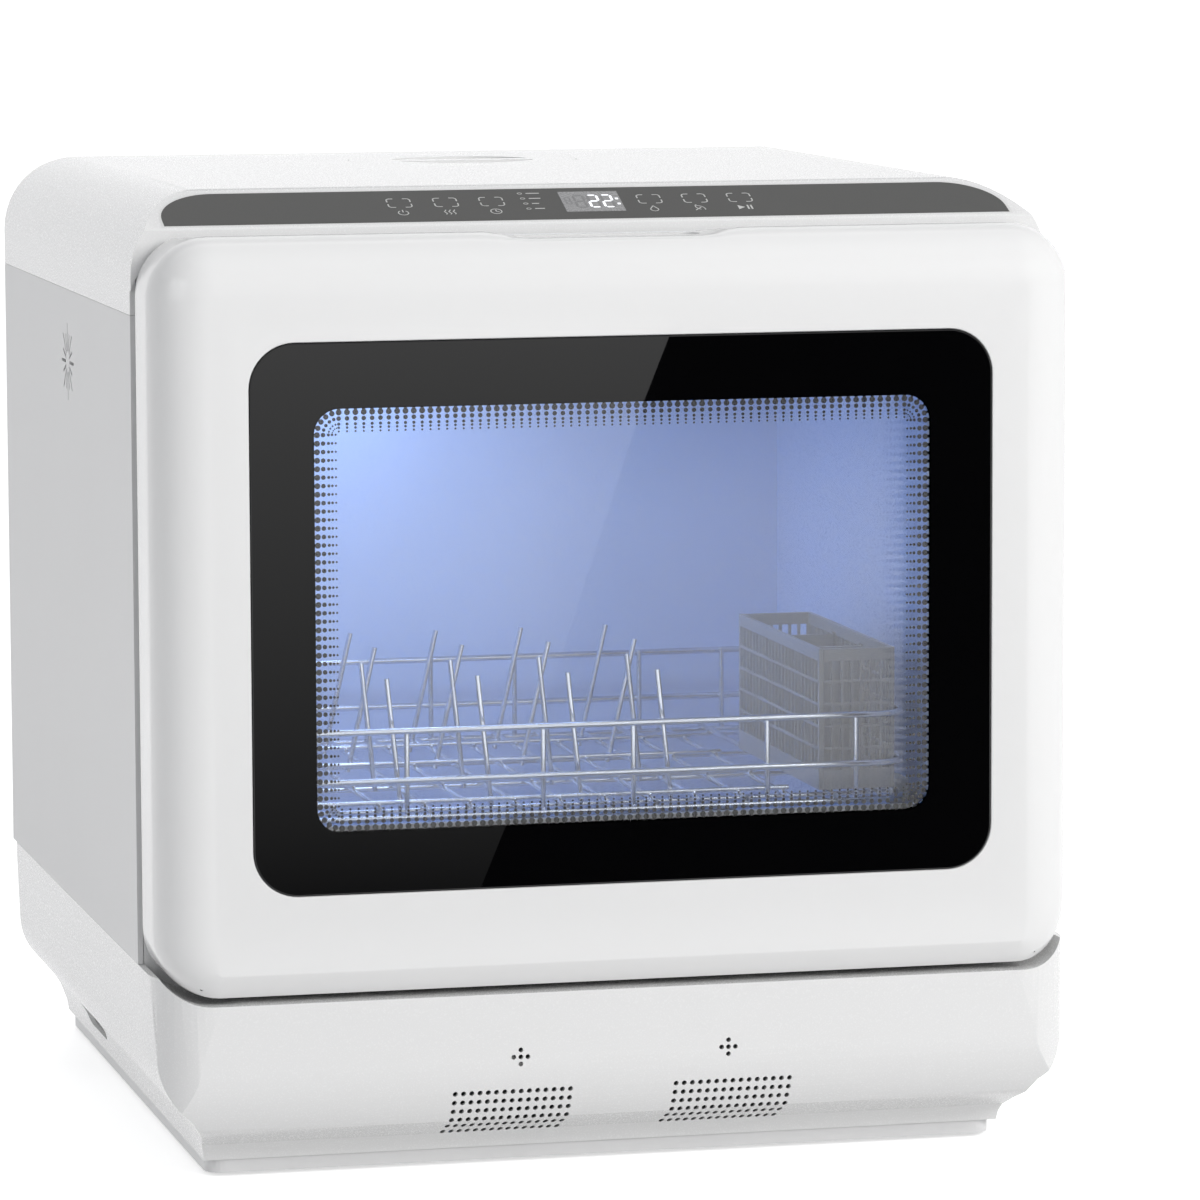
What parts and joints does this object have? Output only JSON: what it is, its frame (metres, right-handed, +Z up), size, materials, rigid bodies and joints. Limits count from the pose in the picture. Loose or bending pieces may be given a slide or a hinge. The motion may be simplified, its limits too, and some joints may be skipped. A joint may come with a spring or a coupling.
{
  "type": "countertop dishwasher",
  "caption": "Compact bench-top dishwasher: drop-down glass door, sliding wire rack, cutlery basket, spray arms, filler cap and touch control strip.",
  "frame": {"origin": "on the table under the middle of the machine's outer box", "axes": "+X to the right seen from the front, +Y to the back, +Z up; the door faces -Y"},
  "size_m": [0.42, 0.435, 0.437],
  "materials": {
    "white_casing": "satin white moulding",
    "side_sheet": "fine matt white",
    "control_lens": "satin dark grey touch lens",
    "display": "dark display face",
    "circuit_board": "green board",
    "front_glass": "black printed safety glass with a clear window",
    "clear_glass": "clear",
    "tub_plastic": "smooth pale plastic lit blue",
    "grey_plastic": "moulded grey",
    "white_nylon": "moulded white",
    "black_rubber": "matt black",
    "steel": "stainless",
    "rack_wire": "bright coated wire"
  },
  "bodies": {
    "cabinet": {"top_cover": "white_casing", "side_panel_left": "side_sheet", "side_panel_right": "side_sheet", "rear_panel": "side_sheet", "base_housing": "white_casing", "carry_cups": "white_casing", "front_lower_panel": "white_casing", "base_plinth": "side_sheet", "feet": "black_rubber", "casing_screws": "steel", "front_frame": "white_casing", "control_panel": "control_lens", "control_board": "circuit_board", "display_module": "display", "filler_collar": "white_casing", "strainer_frame": "white_nylon", "strainer_mesh": "steel", "fill_funnel": "white_nylon", "water_tank": "tub_plastic", "tub": "tub_plastic", "door_gasket": "black_rubber", "rack_guides": "grey_plastic", "interior_lamp": "clear_glass", "feed_pipe": "grey_plastic", "sump_housing": "grey_plastic", "spray_post": "grey_plastic", "wash_pump": "grey_plastic", "drain_pump": "grey_plastic", "pump_hoses": "black_rubber", "inlet_valve": "white_nylon", "main_board": "circuit_board", "fan_housing": "grey_plastic", "hinge_brackets": "steel", "latch_housing": "grey_plastic"},
    "door": {"door_shell": "white_casing", "door_glass": "front_glass", "glass_bond": "black_rubber", "inner_glass": "clear_glass", "inner_glass_seal": "black_rubber", "door_liner": "side_sheet", "detergent_cup": "grey_plastic", "latch_hook": "white_nylon", "hinge_leaves": "steel"},
    "rack": {"rack_rails": "rack_wire", "rack_bends": "rack_wire", "rack_floor": "rack_wire", "rack_uprights": "rack_wire", "rack_tines": "rack_wire", "rack_glides": "white_nylon"},
    "basket": {"cutlery_basket": "grey_plastic", "basket_dividers": "grey_plastic"},
    "upper_arm": {"upper_spray_arm": "grey_plastic"},
    "lower_arm": {"lower_spray_arm": "grey_plastic"},
    "filter": {"sump_filter": "steel"},
    "cap_ring": {"cap_seal": "black_rubber"},
    "cap": {"filler_cap": "white_casing"},
    "detergent_lid": {"detergent_lid": "white_nylon"},
    "fan": {"fan_rotor": "black_rubber"},
    "pawl": {"latch_pawl": "white_nylon"}
  },
  "joints": [
    {"name": "door_hinge", "type": "hinge", "parent": "cabinet", "child": "door", "pos_m": [0, -0.2055, 0.097], "axis": [1, 0, 0], "range_deg": [0, 90]},
    {"name": "rack_slide", "type": "slide", "parent": "cabinet", "child": "rack", "axis": [0, -1, 0], "range_m": [0, 0.16]},
    {"name": "basket_lift", "type": "slide", "parent": "rack", "child": "basket", "axis": [0, 0, 1], "range_m": [0, 0.1]},
    {"name": "upper_arm_turn", "type": "hinge", "parent": "cabinet", "child": "upper_arm", "pos_m": [0, -0.0125, 0.37], "axis": [0, 0, 1], "continuous": true},
    {"name": "lower_arm_turn", "type": "hinge", "parent": "cabinet", "child": "lower_arm", "pos_m": [0, -0.0125, 0.126], "axis": [0, 0, 1], "continuous": true},
    {"name": "filter_turn", "type": "hinge", "parent": "cabinet", "child": "filter", "pos_m": [0.062, -0.0845, 0.112], "axis": [0, 0, 1], "range_deg": [0, 90]},
    {"name": "cap_lift", "type": "slide", "parent": "cabinet", "child": "cap_ring", "axis": [0, 0, 1], "range_m": [0, 0.06]},
    {"name": "cap_turn", "type": "hinge", "parent": "cap_ring", "child": "cap", "pos_m": [0, 0.1135, 0.432], "axis": [0, 0, 1], "range_deg": [0, 45]},
    {"name": "detergent_slide", "type": "slide", "parent": "door", "child": "detergent_lid", "axis": [-1, 0, 0], "range_m": [0, 0.055]},
    {"name": "fan_spin", "type": "hinge", "parent": "cabinet", "child": "fan", "pos_m": [-0.19, 0.0195, 0.35], "axis": [1, 0, 0], "continuous": true},
    {"name": "pawl_lift", "type": "hinge", "parent": "cabinet", "child": "pawl", "pos_m": [0, -0.134, 0.413], "axis": [-1, 0, 0], "range_deg": [0, 10]}
  ],
  "couplings": [
    {"joint": "rack_slide", "follows": "door_hinge", "m_per_rad": 0.1}
  ]
}
